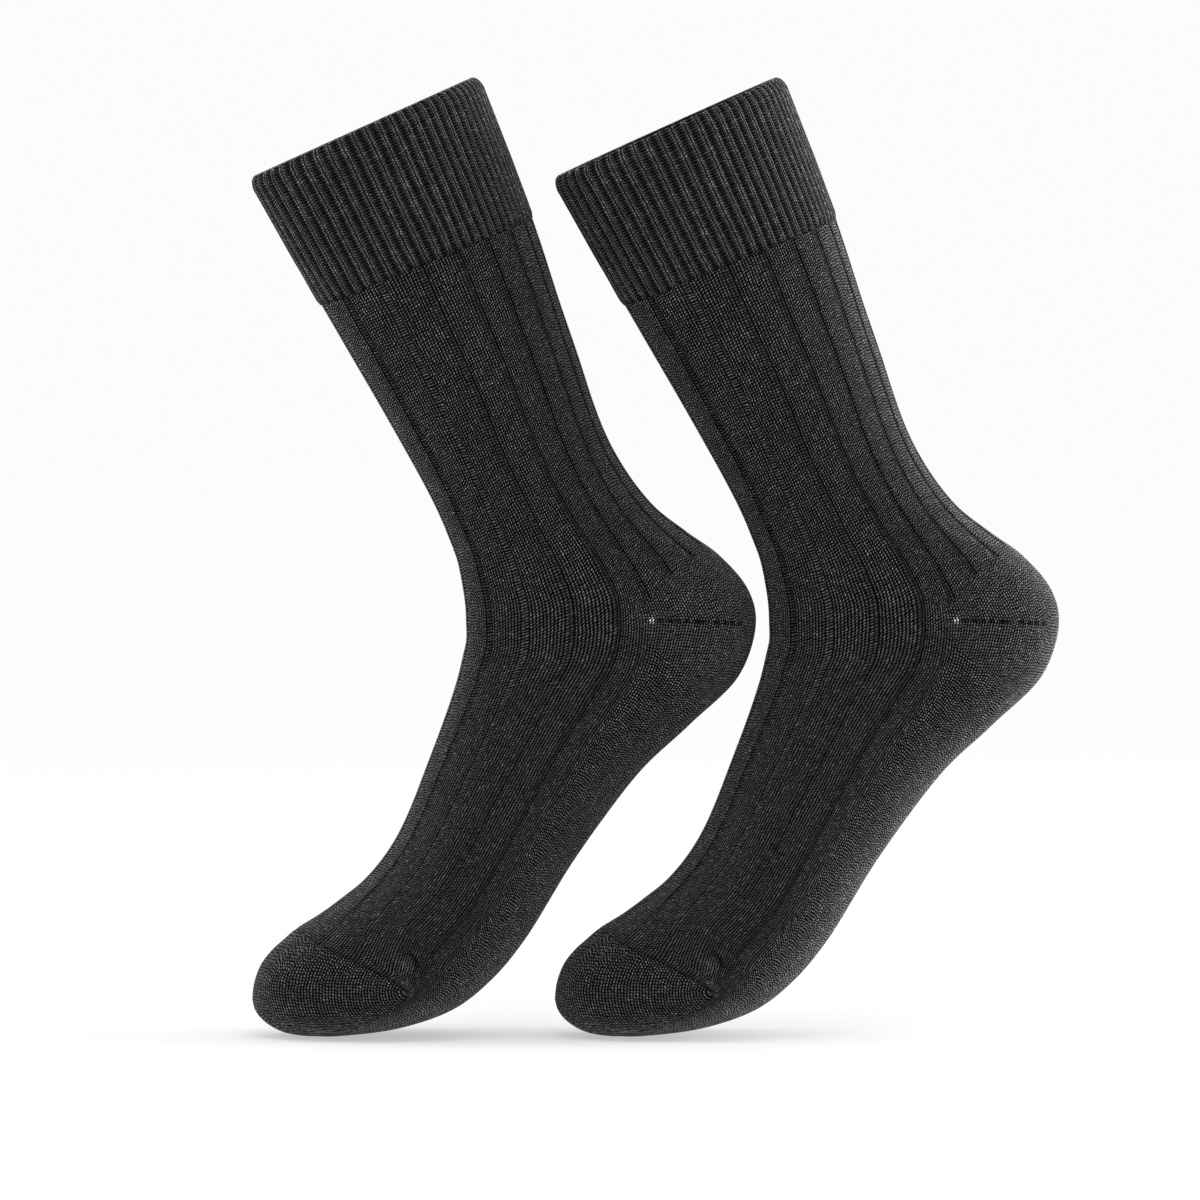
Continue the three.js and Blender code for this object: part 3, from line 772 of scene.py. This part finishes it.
# Painted shade in the tuck's fold, besides that of the ladders and the seam.
shade = ladder_shade(sunk, crease) * seam_shade(furrow, holes) * (1 + 0.9 * loop_highlight) * (1 - 0.8 * fold)
wall(
    "foot",
    station,
    place,
    depth,
    back=[(row, CLOTH_THICKNESS) for row in range(0, 121, 10)],
    wales=np.where(off_shin < SOLE_STARTS, ribbed_wales(place), sole_wales),
    turn=RIBS_ROUND * WALES_PER_RIB,
    courses=(leg_length + walked) / COURSE,
    purl=rungs,
    # painted light makes the back of the foot paler
    shade=shade * painted_back_light(place, 0.35),
    finish=leg_finish,
    kind="ring",
)

# Toe pockets. A plain pocket like the heel's closes the tube: its wales run from the sole round the tip and
# back over the toes, where the last row is linked to the instep.
TOE_CORNER = np.array([14.5, -341.0])  # x and z of the pocket's side corners
TOE_CORNER_ACROSS = 44  # and how far they lie from the foot's middle
TOE_HALF = 46
TOE_WALES = 66  # from the middle of the toes to a corner
TOE_WALE = 1.15
CLOTH_TO_TOE = 480  # millimetres of cloth from the leg's first row
TIP_FAN = 0.15  # of a station, left to the fan that closes the tip
place = tube_places
share = np.linspace(0, 1, 57)[:, None]
station = TOE_SEAM + SEAM + (TIP - TIP_FAN - TOE_SEAM) * share + 0 * place
points = face_point(station, place + 0 * station)
walked = walk(station, place)
outline = np.vstack([TUBE[TOE_SEAM:, :2], TUBE[TOE_SEAM:, 2:4]]) - TOE_CORNER
outline_angle = np.arctan2(outline[:, 1], -outline[:, 0])
outline_reach = np.linalg.norm(outline, axis=1)
order = np.argsort(outline_angle)
ahead, up = TOE_CORNER[0] - points[..., 0], points[..., 2] - TOE_CORNER[1]
aside = np.abs(points[..., 1])
angle = np.arctan2(up, ahead)
reach = np.hypot(ahead, up)
nested = reach / np.interp(angle, outline_angle[order], outline_reach[order])
from_middle = 1 - np.arctan2(nested, aside / TOE_HALF) / (np.pi / 2)
from_corner = np.linalg.norm(np.stack([ahead, up, aside - TOE_CORNER_ACROSS], axis=-1), axis=-1)
beside = np.clip(aside / TOE_HALF, 0, 1) ** 1.5
wales = from_middle * TOE_WALES * (1 - beside) + (TOE_WALES - from_corner / TOE_WALE) * beside
furrow, holes = toe_seam(walked, off_shin)
lower_edge = np.exp(-((walked / 1.5) ** 2)) * (off_shin > 4.9)
corner_shadow = np.exp(-((from_corner / 2.5) ** 2))
depth = 0.45 * furrow * holes + 0.15 * unevenness(station, place, 1, 22, 5)
shade = 0.95 * seam_shade(furrow, holes) * (1 - 0.12 * lower_edge) * (1 - 0.35 * corner_shadow)
wall(
    "toe",
    station,
    place,
    depth,
    back=[(row, CLOTH_THICKNESS) for row in range(0, 57, 7)],
    wales=-np.sign(points[..., 1]) * wales,
    turn=0,
    courses=(CLOTH_TO_TOE + angle * reach) / COURSE,
    purl=0 * station,
    shade=shade,
    finish=heel_finish,
    kind="tip",
)

# Studio. A wide white table that glows a little, as a light table does, so that shadows on it stay faint. It
# isn't part of the socks, which stand on their toes on it.
FLOOR = -0.3616  # just under the lowest stitches of the toes, in metres
TABLE_REACH = 600.0  # far enough to meet the white all round at the photograph's horizon
TABLE_SIDES = 48
turns = [step / TABLE_SIDES * 2 * math.pi for step in range(TABLE_SIDES)]
table_edge = [(TABLE_REACH * math.cos(turn), TABLE_REACH * math.sin(turn), FLOOR) for turn in turns]
table_mesh = bpy.data.meshes.new("studio_table")
table_mesh.from_pydata(table_edge, [], [range(TABLE_SIDES)])
table_finish = bpy.data.materials.new("white_table")
table_finish.use_nodes = True
table_shader = table_finish.node_tree.nodes["Principled BSDF"]
table_shader.inputs["Base Color"].default_value = (0.5, 0.5, 0.5, 1.0)
table_shader.inputs["Roughness"].default_value = 0.95
table_shader.inputs["Specular IOR Level"].default_value = 0.0
table_shader.inputs["Emission Color"].default_value = (1.0, 1.0, 1.0, 1.0)
table_shader.inputs["Emission Strength"].default_value = 0.47
table_mesh.materials.append(table_finish)
table = bpy.data.objects.new("studio_table", table_mesh)
bpy.context.scene.collection.objects.link(table)

# Light. White all round, as in a light tent, with a soft lamp above in front of the socks and one at
# their right, at the height of the cuffs, which lights the backs of the calves.
surroundings = bpy.data.worlds.new("studio")
surroundings.use_nodes = True
surroundings.node_tree.nodes["Background"].inputs["Color"].default_value = (1.0, 1.0, 1.0, 1.0)
surroundings.node_tree.nodes["Background"].inputs["Strength"].default_value = 1.0
bpy.context.scene.world = surroundings
LAMPS = {
    # name: where it hangs, its width, its power
    "soft_top": ((0.1, -1.0, 0.9), 0.7, 4.0),
    "soft_side": ((1.6, 0.1, 0.0), 1.0, 22.0),
}
middle = (0.0312, 0.0, -0.1868)  # the spot of the pair that the photograph's middle shows


def look_at(thing, spot):
    """Turns a lamp or the camera so that it looks at a spot."""
    aim = [b - a for a, b in zip(thing.location, spot)]
    flat_reach = math.hypot(aim[0], aim[1])
    thing.rotation_euler = (math.atan2(flat_reach, -aim[2]), 0.0, math.atan2(-aim[0], aim[1]))


for name, (spot, width, power) in LAMPS.items():
    lamp = bpy.data.lights.new(name, "AREA")
    lamp.shape = "DISK"
    lamp.size = width
    lamp.energy = power
    holder = bpy.data.objects.new(name, lamp)
    holder.location = spot
    look_at(holder, middle)
    bpy.context.scene.collection.objects.link(holder)

# Camera. It looks at the near side of both socks from a little above, far enough to keep them alike.
FRAME_WIDTH = 0.48  # what the photograph takes in at the socks
DISTANCE = 6.0
ELEVATION = math.radians(2.5)
camera_data = bpy.data.cameras.new("camera")
camera_data.angle = 2 * math.atan(FRAME_WIDTH / 2 / DISTANCE)
camera = bpy.data.objects.new("camera", camera_data)
camera.location = (
    middle[0],
    middle[1] - DISTANCE * math.cos(ELEVATION),
    middle[2] + DISTANCE * math.sin(ELEVATION),
)
look_at(camera, middle)
bpy.context.scene.collection.objects.link(camera)
bpy.context.scene.camera = camera
bpy.context.scene.view_settings.view_transform = "Standard"
